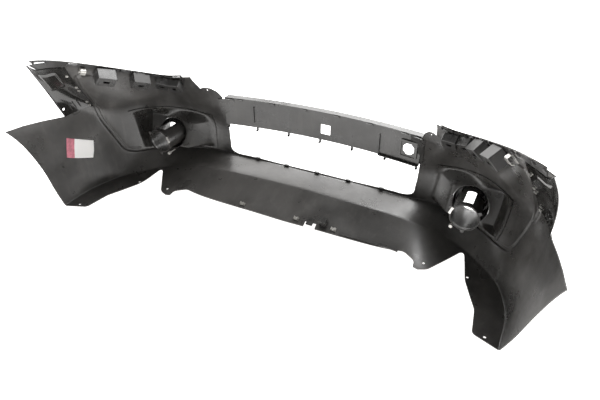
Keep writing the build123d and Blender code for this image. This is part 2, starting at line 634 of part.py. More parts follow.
# ---------------------------------------------------------------- skirt
def skirt_seat(x, back):
    """Plane on the skirt's inner surface: x along the skirt, z into the vehicle."""
    station = np.interp(x, NET[SKIRT_INDEX, :, 0], range(-LAST_STATION, LAST_STATION + 1))
    row = 7 + 2 * back
    across = skin(station + 0.05, row, SKIRT_ROWS) - skin(station - 0.05, row, SKIRT_ROWS)
    return Plane(raised(station, row, 0.3, SKIRT_ROWS), x_dir=Vector(*across),
                 z_dir=Vector(*inward(station, row, SKIRT_ROWS)))


def build_skirt_fittings():
    with BuildPart() as clips:
        for x in SKIRT_CLIPS:
            seat = skirt_seat(x, 0.8)
            with BuildSketch(seat):
                Rectangle(20, 12)
            extrude(amount=3)
            with BuildSketch(seat):
                with GridLocations(13, 0, 2, 1):
                    Rectangle(3, 10)
            extrude(amount=11)
    finish(clips, "skirt_clips")
    with BuildPart() as tab:
        with BuildSketch(skirt_seat(TAB_X, 0.78)):
            RectangleRounded(26, 30, 3)
            with Locations((0, -4)):
                Circle(4.5, mode=Mode.SUBTRACT)
        extrude(amount=2)
    finish(tab, "skirt_lock_tab")
    with BuildPart() as post:
        with BuildSketch(skirt_seat(POST_X, 0.74)):
            Rectangle(28, 20)
            Rectangle(24, 16, mode=Mode.SUBTRACT)
        extrude(amount=34)
        with BuildSketch(skirt_seat(POST_X, 0.74).offset(31)):
            Rectangle(28, 20)
        extrude(amount=3)
    finish(post, "skirt_duct_post")
    rows = [[raised(s, r, 0.3, SKIRT_ROWS) for s in np.linspace(*STRIP_STATIONS, 15)]
            for r in np.linspace(8.62, 8.74, 4)]
    with BuildPart() as rail:
        add(sheet(rows, 5, (0, 0.5, 1)))
    finish(rail, "skirt_rail")


def build_label():
    """Plain paper label on the inside of the left wing."""
    corners = [np.array(corner) for corner in LABEL_CORNERS]

    def spot(across, down):
        top = corners[0] + (corners[1] - corners[0]) * across
        foot = corners[3] + (corners[2] - corners[3]) * across
        return raised(*(top + (foot - top) * down), 0.15)

    points = [[spot(across, down) for across in np.linspace(0, 1, 9)] for down in np.linspace(0, 1, 6)]
    with BuildPart() as label:
        add(sheet(points, LABEL_THICK, (-1, 0, 0), tol=0.02))
    finish(label, "label")


build_fascia()
build_crossbar()
build_tow_eye_frame()
build_bar_clips()
build_retainer()
build_lamp_guides()
build_ledge_spring()
build_side_bracket()
build_bracket_screws()
build_fog_bezel()
build_fog_bucket()
build_fog_spring()
build_fog_adjuster()
build_skirt_fittings()
build_label()
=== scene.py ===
import json
import math

import bmesh
import bpy
import numpy as np
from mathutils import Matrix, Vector
from mathutils.kdtree import KDTree


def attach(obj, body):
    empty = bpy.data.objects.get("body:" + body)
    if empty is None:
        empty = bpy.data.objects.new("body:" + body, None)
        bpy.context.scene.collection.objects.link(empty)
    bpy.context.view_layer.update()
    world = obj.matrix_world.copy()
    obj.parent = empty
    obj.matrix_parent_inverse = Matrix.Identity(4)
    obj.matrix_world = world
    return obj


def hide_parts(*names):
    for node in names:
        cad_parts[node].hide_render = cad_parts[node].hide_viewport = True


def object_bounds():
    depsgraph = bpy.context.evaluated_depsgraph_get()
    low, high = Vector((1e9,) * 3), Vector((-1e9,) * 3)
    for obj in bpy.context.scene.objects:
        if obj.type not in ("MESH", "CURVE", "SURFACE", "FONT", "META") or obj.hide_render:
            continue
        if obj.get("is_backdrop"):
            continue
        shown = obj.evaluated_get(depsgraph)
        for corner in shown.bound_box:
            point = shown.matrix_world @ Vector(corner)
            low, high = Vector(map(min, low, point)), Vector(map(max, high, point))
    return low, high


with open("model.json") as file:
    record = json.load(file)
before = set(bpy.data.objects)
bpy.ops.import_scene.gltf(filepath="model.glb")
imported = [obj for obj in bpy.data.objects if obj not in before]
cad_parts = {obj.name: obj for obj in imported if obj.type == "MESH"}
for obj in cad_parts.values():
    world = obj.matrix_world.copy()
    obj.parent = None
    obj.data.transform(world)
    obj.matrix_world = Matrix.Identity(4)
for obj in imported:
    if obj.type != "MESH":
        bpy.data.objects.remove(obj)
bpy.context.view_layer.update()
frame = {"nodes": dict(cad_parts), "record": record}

NODES = frame["nodes"]
SCENE = bpy.context.scene

# ---------------------------------------------------------------- dimensions, metres
DATUM_Y = 0.268           # from the fender datum, which the guide points use, to the origin
WALL = 0.003
SHEET = 0.0025
FINE, COARSE = ((0.0026, 0.0045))

# Guide rows of the moulding's inner surface, left half, millimetres from the fender datum
LEDGE = [(0, -520, 440), (200, -515, 440), (425, -440, 440), (485, -392, 445), (590, -352, 448),
         (678, -195, 512), (745, -65, 560), (792, -12, 568), (838, 10, 552), (866, 45, 535), (888, 85, 520)]
BROW = [(0, -560, 380), (200, -556, 380), (418, -492, 372), (486, -448, 370), (600, -408, 385),
        (686, -275, 430), (758, -165, 455), (808, -115, 452), (851, -75, 430), (872, 10, 425), (896, 85, 420)]
WING_TOP = [(0, -590, 300), (200, -585, 300), (412, -525, 300), (487, -488, 310), (606, -450, 320),
            (692, -348, 330), (774, -262, 325), (822, -232, 320), (855, -133, 320), (877, -30, 322),
            (900, 85, 325)]
POCKET_TOP = [(0, -600, 200), (200, -594, 200), (409, -545, 215), (474, -536, 226), (612, -478, 256),
              (698, -392, 269), (776, -305, 255), (812, -235, 245), (844, -131, 240), (866, -30, 240),
              (889, 85, 240)]
BELT = [(0, -585, 120), (200, -579, 120), (402, -552, 150), (466, -541, 150), (606, -484, 155),
        (694, -403, 160), (768, -325, 155), (798, -240, 150), (829, -129, 150), (848, -30, 150),
        (866, 85, 150)]
CHANNEL = [(0, -552, 61), (200, -552, 61), (397, -546, 63), (460, -532, 76), (600, -468, 86),
           (682, -400, 92), (752, -330, 88), (786, -240, 85), (815, -127, 80), (829, -30, 80), (845, 85, 80)]
SHELF = [(0, -478, 68), (200, -477, 68), (405, -470, 66), (456, -463, 66), (590, -426, 58),
         (670, -374, 52), (741, -318, 42), (776, -239, 38), (808, -126, 35), (815, -30, 35), (826, 85, 35)]
FOLD = [(0, -402, 80), (200, -400, 77), (421, -395, 68), (470, -395, 60), (585, -387, 33),
        (662, -350, 20), (728, -300, 9), (770, -242, 3.5), (803, -124, 3), (804, -30, 3), (812, 85, 3)]
SKIRT = [(0, -345, 44), (200, -342, 42), (415, -338, 36), (462, -330, 33), (568, -312, 17),
         (638, -300, 9), (690, -275, 4.5), (716, -222, 3.2), (758, -126, 3), (765, -30, 3), (770, 85, 3)]
RIM = [(0, -262, -4), (200, -262, -4), (420, -262, -3), (460, -250, 1), (545, -225, 3),
       (605, -235, 3.5), (640, -235, 4), (655, -200, 3.2), (705, -130, 3), (715, -30, 3), (720, 85, 3)]
GUIDES = [LEDGE, BROW, WING_TOP, POCKET_TOP, BELT, CHANNEL, SHELF, FOLD, SKIRT, RIM]
CHEEK, SHELF_SPAN, SKIRT_SPAN = (0, 5), (5, 7), (7, 9)
LAST = 10
SKIN_TOP = 0.17

# Trim lines, millimetres from the fender datum
BRACKET_LINE = [(105, 327), (85, 326), (15, 325), (-55, 318), (-133, 306.5), (-232, 320),
                (-120, 450), (-10, 552), (-10, 640), (105, 640)]
ARCH_LINE = [(81, 326), (56, 287), (27, 212), (10, 127), (6, 60), (-1, -5)]
REAR_EDGE = [(0, -278), (200, -280), (446, -289), (490, -262), (494, -226), (540, -242), (620, -358),
             (632, -356), (646, -306), (660, -247), (690, -178), (713, -128), (725, -30), (808, 2)]
OPENING = [(394, 66), (400, 128), (404, 209)]
OPENING_CORNER = 58
SHOULDER = [(404, 209), (405, 324), (417, 352), (434, 370), (452, 375), (463, 370),
            (468, 410), (470, 700), (0, 700)]
SHOULDER_HOLE = (443, 361, 3)
POCKET_STATIONS, POCKET_ROWS = (3.0, 5.42), (3.0, 4.88)
POCKET_DEPTH, OPENING_DEPTH = (-0.4, 0.012), (-0.46, -0.02)
FLANGE_HOLES, FLANGE_HOLE_RADIUS = [(761, -30), (665, -262), (522, -262)], 4.5
NOTCH = (-96, -286, 44, 24)            # middle across, middle along, width, depth


# ---------------------------------------------------------------- the moulding's surface
def natural_spline(knots, values, query):
    """Natural cubic spline through values at the knots, read at the query points."""
    count, steps = len(knots), np.diff(knots)
    system, right = np.eye(count), np.zeros_like(values)
    for i in range(1, count - 1):
        system[i, i - 1:i + 2] = steps[i - 1], 2 * (steps[i - 1] + steps[i]), steps[i]
        after = (values[i + 1] - values[i]) / steps[i]
        before = (values[i] - values[i - 1]) / steps[i - 1]
        right[i] = 6 * (after - before)
    bend = np.linalg.solve(system, right.reshape(count, -1)).reshape(values.shape)
    span = np.clip(np.searchsorted(knots, query, side="right") - 1, 0, count - 2)
    column = (-1,) + (1,) * (values.ndim - 1)
    past = (query - knots[span]).reshape(column)
    step = steps[span].reshape(column)
    ahead = step - past
    return ((bend[span] * ahead**3 + bend[span + 1] * past**3) / (6 * step)
            + (values[span] / step - bend[span] * step / 6) * ahead
            + (values[span + 1] / step - bend[span + 1] * step / 6) * past)


def whole_net():
    half = np.array(GUIDES, float) / 1000
    half[..., 1] += DATUM_Y
    return np.concatenate([half[:, :0:-1] * (-1, 1, 1), half], axis=1)


NET = whole_net()
STATION_KNOTS = np.concatenate([[0], np.cumsum(np.linalg.norm(np.diff(NET, axis=1), axis=2)[3:8].mean(0))])
ROW_KNOTS = np.concatenate([[0], np.cumsum(np.linalg.norm(np.diff(NET, axis=0), axis=2).mean(1))])


def columns(stations):
    """The ten guide points of each station: (station, row, 3)."""
    place = np.interp(np.asarray(stations, float) + LAST, range(len(STATION_KNOTS)), STATION_KNOTS)
    return natural_spline(STATION_KNOTS, NET.transpose(1, 0, 2), place)


def surface(stations, rows, span=CHEEK):
    """Grid of inner-surface points: (row, station, 3)."""
    first, last = span
    where = np.interp(np.asarray(rows, float), range(len(ROW_KNOTS)), ROW_KNOTS)
    values = columns(stations).transpose(1, 0, 2)[first:last + 1]
    return natural_spline(ROW_KNOTS[first:last + 1], values, where)


def points_at(stations, rows, span=CHEEK):
    """Inner-surface points of matching lists of stations and rows."""
    return np.array([surface([s], [r], span)[0, 0] for s, r in zip(stations, rows)])


def inward(stations, rows, span=CHEEK, reach=0.02):
    """Unit normals into the vehicle, for matching lists of stations and rows."""
    s, r = np.asarray(stations, float), np.asarray(rows, float)
    right, left = np.minimum(s + reach, LAST), np.maximum(s - reach, -LAST)
    below, above = np.minimum(r + reach, span[1]), np.maximum(r - reach, span[0])
    across = points_at(right, r, span) - points_at(left, r, span)
    down = points_at(s, below, span) - points_at(s, above, span)
    normal = np.cross(across, down)
    return normal / np.linalg.norm(normal, axis=-1, keepdims=True)


def raised(station, row, height, span=CHEEK):
    return points_at([station], [row], span)[0] + height * inward([station], [row], span)[0]


def grid_normals(grid):
    """Inward unit normals of a (row, station, 3) grid."""
    down = np.gradient(grid, axis=0)
    across = np.gradient(grid, axis=1)
    normal = np.cross(across, down)
    return normal / np.maximum(np.linalg.norm(normal, axis=-1, keepdims=True), 1e-12)


def link(name, verts, faces, smooth=True):
    mesh = bpy.data.meshes.new(name)
    mesh.from_pydata([tuple(v) for v in verts], [], [tuple(f) for f in faces])
    mesh.validate()
    if smooth:
        mesh.shade_smooth()
    obj = bpy.data.objects.new(name, mesh)
    SCENE.collection.objects.link(obj)
    return obj


def quads(rows, cols, offset=0, flip=False):
    r, c = np.meshgrid(range(rows - 1), range(cols - 1), indexing="ij")
    a = (r * cols + c).ravel() + offset
    faces = np.stack([a, a + 1, a + cols + 1, a + cols], axis=1)
    return faces[:, ::-1] if flip else faces


def shell(name, inner, outer):
    """Closed mesh between two grids of the same shape."""
    rows, cols = inner.shape[:2]
    size = rows * cols
    verts = np.concatenate([inner.reshape(-1, 3), outer.reshape(-1, 3)])
    faces = [quads(rows, cols), quads(rows, cols, size, flip=True)]
    ring = (list(range(cols)) + [r * cols + cols - 1 for r in range(1, rows)]
            + [(rows - 1) * cols + c for c in range(cols - 2, -1, -1)]
            + [r * cols for r in range(rows - 2, 0, -1)])
    ring = np.array(ring)
    after = np.roll(ring, -1)
    faces.append(np.stack([after, ring, ring + size, after + size], axis=1))
    return link(name, verts, np.concatenate(faces))


def apply_modifiers(obj):
    graph = bpy.context.evaluated_depsgraph_get()
    mesh = bpy.data.meshes.new_from_object(obj.evaluated_get(graph))
    old = obj.data
    obj.modifiers.clear()
    obj.data = mesh
    bpy.data.meshes.remove(old)


def cut(obj, cutters):
    """Takes the cutters away from a mesh."""
    for cutter in cutters:
        modifier = obj.modifiers.new("cut", "BOOLEAN")
        modifier.operation = "DIFFERENCE"
        modifier.solver = "MANIFOLD"
        modifier.object = cutter
    apply_modifiers(obj)
    for cutter in cutters:
        bpy.data.objects.remove(cutter)


def fix_normals(obj):
    mesh = bmesh.new()
    mesh.from_mesh(obj.data)
    bmesh.ops.recalc_face_normals(mesh, faces=mesh.faces)
    mesh.to_mesh(obj.data)
    mesh.free()


def prism(name, outline, place, start, end):
    """Closed prism: outline is a list of 2-D points, place(u, v, w) gives the 3-D point."""
    count = len(outline)
    area = sum(a[0] * b[1] - b[0] * a[1] for a, b in zip(outline, outline[1:] + outline[:1]))
    if area < 0:
        outline = outline[::-1]
    verts = [place(u, v, start) for u, v in outline] + [place(u, v, end) for u, v in outline]
    sides = [(i, (i + 1) % count, (i + 1) % count + count, i + count) for i in range(count)]
    ends = [tuple(range(count))[::-1], tuple(range(count, 2 * count))]
    obj = link(name, verts, sides + ends, smooth=False)
    fix_normals(obj)
    return obj


def side_view(u, v, w):
    return (w, u, v)


def front_view(u, v, w):
    return (u, w, v)


def top_view(u, v, w):
    return (u, v, w)


def scaled(points):
    return [(x / 1000, y / 1000) for x, y in points]


def circle(across, up, radius, steps=24):
    return [(across + radius * math.cos(a), up + radius * math.sin(a))
            for a in np.linspace(0, 2 * math.pi, steps, endpoint=False)]


def smooth_line(points, steps):
    pts = np.array(points, float)
    knots = np.concatenate([[0], np.cumsum(np.linalg.norm(np.diff(pts, axis=0), axis=1))])
    return natural_spline(knots, pts, np.linspace(0, knots[-1], steps))


def rounded(points, radius, steps=6):
    """Closed outline with its corners rounded by short curves."""
    pts = [np.array(p, float) for p in points]
    result = []
    for before, here, after in zip(pts[-1:] + pts[:-1], pts, pts[1:] + pts[:1]):
        into, out = before - here, after - here
        back = min(radius, np.linalg.norm(into) / 2.1)
        forth = min(radius, np.linalg.norm(out) / 2.1)
        a, b = here + into / np.linalg.norm(into) * back, here + out / np.linalg.norm(out) * forth
        for t in np.linspace(0, 1, steps):
            result.append(tuple((1 - t)**2 * a + 2 * t * (1 - t) * here + t**2 * b))
    return result


def ramp(value):
    value = np.clip(value, 0, 1)
    return value * value * (3 - 2 * value)


def distance_to_line(grid, line):
    """Distance from each grid point to a densely sampled line."""
    tree = KDTree(len(line))
    for i, point in enumerate(line):
        tree.insert(point, i)
    tree.balance()
    flat = grid.reshape(-1, 3)
    return np.array([tree.find(p)[2] for p in flat]).reshape(grid.shape[:-1])


# ---------------------------------------------------------------- fascia
UPPER_FOLD, LOWER_FOLD = 0.006, 0.005                     # softening radii of the two folds
GROOVE_DEPTH, GROOVE_HALF, GROOVE_SIDE = 0.0042, 0.0045, 0.0032
BEAD_HEIGHT, BEAD_OFFSET, BEAD_WIDTH = 0.0007, 0.0098, 0.0022


def station_samples():
    """Stations, closer together where the wing's details are."""
    marks = [0.0]
    total_knots = STATION_KNOTS - STATION_KNOTS[LAST]
    while marks[-1] < total_knots[-1]:
        station = np.interp(marks[-1], total_knots, range(-LAST, LAST + 1))
        marks.append(marks[-1] + (FINE if 5.2 < station < 8.2 else COARSE))
    half = np.interp(marks, total_knots, range(-LAST, LAST + 1))
    half[-1] = LAST
    return np.concatenate([-half[:0:-1], half])


def fascia_grid():
    """Inner surface with softened folds: (row, station, 3)."""
    stations = station_samples()
    top = surface(stations, np.linspace(SKIN_TOP, 5, 150), CHEEK)
    shelf = surface(stations, np.linspace(5, 7, 44), SHELF_SPAN)
    skirt = surface(stations, np.linspace(7, 9, 40), SKIRT_SPAN)

    def soften(upper, lower, radius):
        """Replaces the corner between two spans by a curve that starts and ends a radius away from it."""
        corner = upper[-1]
        back, forth = upper[-4] - corner, lower[3] - corner
        a = corner + back * (radius / np.linalg.norm(back, axis=-1, keepdims=True))
        b = corner + forth * (radius / np.linalg.norm(forth, axis=-1, keepdims=True))
        steps = np.linspace(0, 1, 7)[:, None, None]
        return (1 - steps)**2 * a + 2 * steps * (1 - steps) * corner + steps**2 * b

    first = soften(top, shelf, UPPER_FOLD)
    second = soften(shelf, skirt, LOWER_FOLD)

    def clear(span, corner, radius):
        """Rows of a span that stay outside the softened corner at every station."""
        reach = radius * 1.25
        keep = [i for i in range(len(span)) if np.linalg.norm(span[i] - corner, axis=-1).min() > reach]
        return span[keep]

    top_rows = clear(top, top[-1], UPPER_FOLD)
    shelf_rows = clear(clear(shelf, shelf[0], UPPER_FOLD), shelf[-1], LOWER_FOLD)
    skirt_rows = clear(skirt, skirt[0], LOWER_FOLD)
    return np.concatenate([top_rows, first, shelf_rows, second, skirt_rows])


# The groove round each cheek: (station, row)
GROOVE = [(5.3, 0.85), (5.6, 0.78), (6.0, 0.85), (6.24, 1.1), (6.42, 1.5), (6.56, 1.85), (6.64, 2.2),
          (6.64, 2.6), (6.45, 3.45), (6.25, 4.15), (6.08, 4.7), (5.8, 4.92), (5.0, 4.96),
          (4.0, 4.97), (3.2, 4.97)]


def groove_line(sign):
    knots = smooth_line(GROOVE, 320)
    return points_at(sign * knots[:, 0], np.clip(knots[:, 1], 0, 5))


def from_datum(pts):
    return [(y / 1000 + DATUM_Y, z / 1000) for y, z in pts]


def side_cutters():
    """Trims of the wings and cheeks: the bracket's notch, the wheel arch and the fog-lamp pockets."""
    arch = [tuple(p) for p in smooth_line(from_datum(ARCH_LINE), 60)]
    rear = arch[-1][0] + 0.12
    arch += [(rear, arch[-1][1]), (rear, arch[0][1] + 0.02), (arch[0][0], arch[0][1] + 0.02)]
    cutters = []
    for sign in (1, -1):
        ends = sorted((sign * 0.76, sign * 0.96))
        cutters.append(prism("bracket_cut", from_datum(BRACKET_LINE), side_view, *ends))
        cutters.append(prism("arch_cut", arch, side_view, *ends))
        cutters.append(prism("pocket_cut", rounded_pocket(pocket_outline(sign)), front_view, *POCKET_DEPTH))
    return cutters


def middle_cutters():
    """Trims of the skirt and the middle: rear edge, grille opening, shoulders, holes and notch."""
    right = [(-x / 1000, y / 1000 + DATUM_Y) for x, y in reversed(REAR_EDGE[1:])]
    left = [(x / 1000, y / 1000 + DATUM_Y) for x, y in REAR_EDGE]
    rear = rounded(right + left, 0.012)[3:-3]
    outline = [(-0.808, 0.4)] + rear + [(0.808, 0.4)]
    cutters = [prism("rear_cut", outline, top_view, -0.04, 0.052)]
    foot, waist, top = scaled(OPENING)
    half = rounded([(0, foot[1]), foot, waist], OPENING_CORNER / 1000, 12)[12:24] + [top]
    outline = [(-x, z) for x, z in reversed(half)] + half
    cutters.append(prism("opening_cut", outline, front_view, -0.46, -0.25))
    upper = [waist] + scaled(SHOULDER)[:-1]
    upper = [(-x, z) for x, z in reversed(upper)] + upper
    cutters.append(prism("upper_cut", upper, front_view, *OPENING_DEPTH))
    for x, y in FLANGE_HOLES:
        for sign in (1, -1):
            ring = circle(sign * x / 1000, y / 1000 + DATUM_Y, FLANGE_HOLE_RADIUS / 1000)
            cutters.append(prism("hole", ring, top_view, -0.02, 0.03))
    x, z, r = (v / 1000 for v in SHOULDER_HOLE)
    for sign in (1, -1):
        cutters.append(prism("hole", circle(sign * x, z, r), front_view, *OPENING_DEPTH))
    x, y, width, depth = (v / 1000 for v in NOTCH)
    near, far = y + DATUM_Y - depth / 2, y + DATUM_Y + depth
    box = [(x - width / 2, near), (x + width / 2, near), (x + width / 2, far), (x - width / 2, far)]
    cutters.append(prism("notch", box, top_view, -0.02, 0.05))
    return cutters


def build_fascia():
    inner = fascia_grid()
    normal = grid_normals(inner)
    depth = np.zeros(inner.shape[:2])
    for sign in (1, -1):
        away = distance_to_line(inner, groove_line(sign))
        depth -= GROOVE_DEPTH * (1 - ramp((away - GROOVE_HALF) / GROOVE_SIDE))
        depth += BEAD_HEIGHT * np.exp(-((away - BEAD_OFFSET) / BEAD_WIDTH)**2)
    shaped = inner + normal * depth[..., None]
    obj = shell("fascia_moulding", shaped, shaped - normal * WALL)
    cut(obj, side_cutters() + middle_cutters())
    return obj


def pocket_outline(sign):
    first, last = POCKET_STATIONS
    top, foot = POCKET_ROWS
    along, down = np.linspace(first, last, 12), np.linspace(top, foot, 8)
    runs = [points_at(along, [top] * 12), points_at([last] * 8, down),
            points_at(np.linspace(last, first, 12), [foot] * 12),
            points_at([first] * 8, np.linspace(foot, top, 8))]
    return [[(sign * p[0], p[2]) for p in run] for run in runs]


def rounded_pocket(runs):
    """Joins four runs, with a curve at each corner."""
    result = []
    for run, after in zip(runs, runs[1:] + runs[:1]):
        line = [np.array(p) for p in run[1:-1]]
        result += [tuple(p) for p in line]
        here = np.array(run[-1])
        a, b = line[-1], np.array(after[1])
        for t in np.linspace(0.2, 0.8, 4):
            result.append(tuple((1 - t)**2 * a + 2 * t * (1 - t) * here + t**2 * b))
    return result


# ---------------------------------------------------------------- materials
def moulded(name, base, rough, mottle=0.45, coat=0.0, scuff=0.25, scale=5.0, lower_dust_and_painted_light=0.0):
    """Cloudy handling marks, long faint wipe marks, a fine grain, and a lighter tone low on the part that is
    partly dust and partly painted light.
    """
    mat = bpy.data.materials.new(name)
    mat.use_nodes = True
    nodes, links = mat.node_tree.nodes, mat.node_tree.links
    shader = nodes["Principled BSDF"]
    coords = nodes.new("ShaderNodeTexCoord")

    def noise(size, detail, stretch=(1, 1, 1), turn=(0, 0, 0)):
        place = nodes.new("ShaderNodeMapping")
        place.inputs["Scale"].default_value = stretch
        place.inputs["Rotation"].default_value = turn
        links.new(coords.outputs["Object"], place.inputs["Vector"])
        texture = nodes.new("ShaderNodeTexNoise")
        texture.inputs["Scale"].default_value = size
        texture.inputs["Detail"].default_value = detail
        texture.inputs["Roughness"].default_value = 0.6
        links.new(place.outputs["Vector"], texture.inputs["Vector"])
        return texture.outputs["Fac"]

    def ranged(value, low, high, start, end):
        node = nodes.new("ShaderNodeMapRange")
        node.interpolation_type = "SMOOTHSTEP"
        for key, number in zip(("From Min", "From Max", "To Min", "To Max"), (low, high, start, end)):
            node.inputs[key].default_value = number
        links.new(value, node.inputs["Value"])
        return node.outputs["Result"]

    def added(first, second):
        node = nodes.new("ShaderNodeMath")
        node.operation = "ADD"
        node.use_clamp = True
        links.new(first, node.inputs[0])
        links.new(second, node.inputs[1])
        return node.outputs["Value"]

    cloud = ranged(noise(scale, 5), 0.34, 0.68, 0.0, 0.75)
    wipe = ranged(noise(7.0, 4, (5, 4, 0.7), (0.3, 0.5, 0.9)), 0.5, 0.74, 0.0, 0.45)
    marks = added(cloud, wipe)
    # Lighter towards the bottom by height: partly dust, partly painted light for the brighter lower surfaces
    if lower_dust_and_painted_light:
        split = nodes.new("ShaderNodeSeparateXYZ")
        links.new(coords.outputs["Object"], split.inputs["Vector"])
        marks = added(marks, ranged(split.outputs["Z"], 0.30, 0.03, 0.0, lower_dust_and_painted_light))
    tint = nodes.new("ShaderNodeMix")
    tint.data_type = "RGBA"
    tint.inputs["A"].default_value = (*[c * (1 - mottle) for c in base], 1)
    tint.inputs["B"].default_value = (*[c * (1 + mottle) for c in base], 1)
    links.new(marks, tint.inputs["Factor"])
    links.new(tint.outputs["Result"], shader.inputs["Base Color"])
    links.new(ranged(noise(11.0, 6), 0.3, 0.7, rough * (1 - scuff), min(1, rough * (1 + scuff))),
              shader.inputs["Roughness"])
    grain = nodes.new("ShaderNodeBump")
    grain.inputs["Strength"].default_value = 0.05
    grain.inputs["Distance"].default_value = 0.0002
    links.new(noise(700.0, 2), grain.inputs["Height"])
    links.new(grain.outputs["Normal"], shader.inputs["Normal"])
    shader.inputs["IOR"].default_value = 1.65
    shader.inputs["Coat Weight"].default_value = coat
    return mat


def metal(name, base, rough):
    mat = moulded(name, base, rough, mottle=0.12, scuff=0.3, scale=40)
    mat.node_tree.nodes["Principled BSDF"].inputs["Metallic"].default_value = 1.0
    return mat


MATERIALS = {
    # the skin's lower part is lightened: partly dust, partly painted light
    "moulded_skin": moulded("plastic_skin", (0.050, 0.0475, 0.045), 0.34, lower_dust_and_painted_light=0.15),
    "grille_plastic": moulded("plastic_grille", (0.046, 0.0445, 0.0425), 0.30),
    "retainer_plastic": moulded("plastic_retainer", (0.034, 0.033, 0.032), 0.30),
    "pocket_plastic": moulded("plastic_pocket", (0.044, 0.042, 0.039), 0.30),
    "bracket_plastic": moulded("plastic_bracket", (0.012, 0.0115, 0.0105), 0.16, coat=0.6),
    "zinc_steel": metal("zinc", (0.62, 0.61, 0.58), 0.35),
    "label_paper": moulded("paper", (0.93, 0.92, 0.91), 0.6, mottle=0.02),
}
SLOT_OF = {entry["node"]: entry["material_slot"] for entry in frame["record"]["subparts"]}


def dress(obj, slot):
    obj.data.materials.clear()
    obj.data.materials.append(MATERIALS[slot])


def add_piece(obj, slot, *replaced):
    dress(obj, slot)
    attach(obj, "root")
    if replaced:
        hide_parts(*replaced)
    return obj


for name, node in NODES.items():
    for index in range(len(node.material_slots)):
        node.material_slots[index].material = MATERIALS[SLOT_OF[name]]

fascia = build_fascia()
fascia.data.set_sharp_from_angle(angle=math.radians(38))
add_piece(fascia, "moulded_skin", "fascia")


# ---------------------------------------------------------------- fog-lamp pockets
FLOOR_POINT = (0.534, -0.479 + DATUM_Y, 0.214)
FLOOR_SLOPE_X, FLOOR_SLOPE_Z = 0.16, -0.35
FOG_X, FOG_Z = 0.610, 0.158
BUCKET_RADIUS, TUBE_RADIUS = 0.062, 0.044
BUCKET_FRONT, TUBE_REAR = -0.484 + DATUM_Y, -0.356 + DATUM_Y
WINDOW_WIDTH, WINDOW_LENGTH = 0.030, 0.076
FIT = 0.0004              # between the bucket and its hole


def crisp_ramp(value, rounding=0.22):
    """Straight ramp from 0 to 1 with short rounded ends."""
    t = np.clip(value, 0, 1)
    k = rounding
    low = t**2 / (2 * k)
    high = 1 - k - (1 - t)**2 / (2 * k)
    return np.where(t < k, low, np.where(t > 1 - k, high, t - k / 2)) / (1 - k)


def pocket_floor(x, z):
    x_0, y_0, z_0 = FLOOR_POINT
    return y_0 + FLOOR_SLOPE_X * (np.abs(x) - x_0) + FLOOR_SLOPE_Z * (z - z_0)


def build_bezel(side, sign):
    lap = 0.035
    across = np.linspace(-lap, 1 + lap, 150)
    down = np.linspace(-lap, 1 + lap, 110)
    stations = POCKET_STATIONS[0] + (POCKET_STATIONS[1] - POCKET_STATIONS[0]) * across
    rows = POCKET_ROWS[0] + (POCKET_ROWS[1] - POCKET_ROWS[0]) * down
    grid = surface(sign * stations, rows)
    normal = grid_normals(grid)
    normal *= np.sign(normal[..., 1:2])
    grid = grid + normal * 0.0009
    a, d = np.meshgrid(across, down)
    share = crisp_ramp(a / 0.24) * crisp_ramp((1 - a) / 0.12)
    share = share * crisp_ramp(d / 0.24) * crisp_ramp((1 - d) / 0.14)
    grid[..., 1] += share * (pocket_floor(grid[..., 0], grid[..., 2]) - grid[..., 1])
    normal = grid_normals(grid)
    normal *= np.sign(normal[..., 1:2] + 1e-9)
    obj = shell(f"fog_pocket_{side}", grid, grid + normal * SHEET)
    fix_normals(obj)
    ring = circle(sign * FOG_X, FOG_Z, BUCKET_RADIUS + FIT, 96)
    cut(obj, [prism("hole", ring, front_view, *POCKET_DEPTH)])
    obj.data.set_sharp_from_angle(angle=math.radians(34))
    add_piece(obj, "pocket_plastic", f"fog_bezel_{side}")


def revolved(name, profile, centre, steps=96, start=0.0, end=2 * math.pi):
    """Closed ring from a closed (radius, y) profile turned about a Y axis; a part turn gets end caps."""
    whole = abs(end - start - 2 * math.pi) < 1e-6
    angles = np.linspace(start, end, steps, endpoint=not whole)
    count = len(profile)
    verts = [(centre[0] + r * math.cos(t), centre[1] + y, centre[2] + r * math.sin(t))
             for t in angles for r, y in profile]
    faces = []
    for i in range(steps if whole else steps - 1):
        j = (i + 1) % steps
        faces += [(i * count + k, i * count + (k + 1) % count, j * count + (k + 1) % count, j * count + k)
                  for k in range(count)]
    if not whole:
        faces += [tuple(range(count)), tuple(range((steps - 1) * count, steps * count))[::-1]]
    obj = link(name, verts, faces)
    fix_normals(obj)
    return obj


def join(name, objects):
    """One object from several, each kept as its own closed shell."""
    mesh = bmesh.new()
    for obj in objects:
        mesh.from_mesh(obj.data)
    result = bpy.data.objects.new(name, bpy.data.meshes.new(name))
    mesh.to_mesh(result.data)
    mesh.free()
    SCENE.collection.objects.link(result)
    for obj in objects:
        bpy.data.objects.remove(obj)
    return result


def box_piece(name, centre, half, axes=((1, 0, 0), (0, 1, 0), (0, 0, 1)), bevel=0.0006, segments=2):
    """Bevelled block with its own axes."""
    frame_axes = [Vector(a).normalized() for a in axes]
    verts = [Vector(centre) + sum((frame_axes[k] * (half[k] * s[k]) for k in range(3)), Vector())
             for s in [(x, y, z) for x in (-1, 1) for y in (-1, 1) for z in (-1, 1)]]
    faces = [(0, 1, 3, 2), (4, 6, 7, 5), (0, 4, 5, 1), (2, 3, 7, 6), (0, 2, 6, 4), (1, 5, 7, 3)]
    obj = link(name, verts, faces)
    fix_normals(obj)
    if bevel:
        modifier = obj.modifiers.new("bevel", "BEVEL")
        modifier.width = bevel
        modifier.segments = segments
        modifier.limit_method = "ANGLE"
        apply_modifiers(obj)
    return obj


def finish_shade(obj, angle=35):
    obj.data.shade_smooth()
    obj.data.set_sharp_from_angle(angle=math.radians(angle))


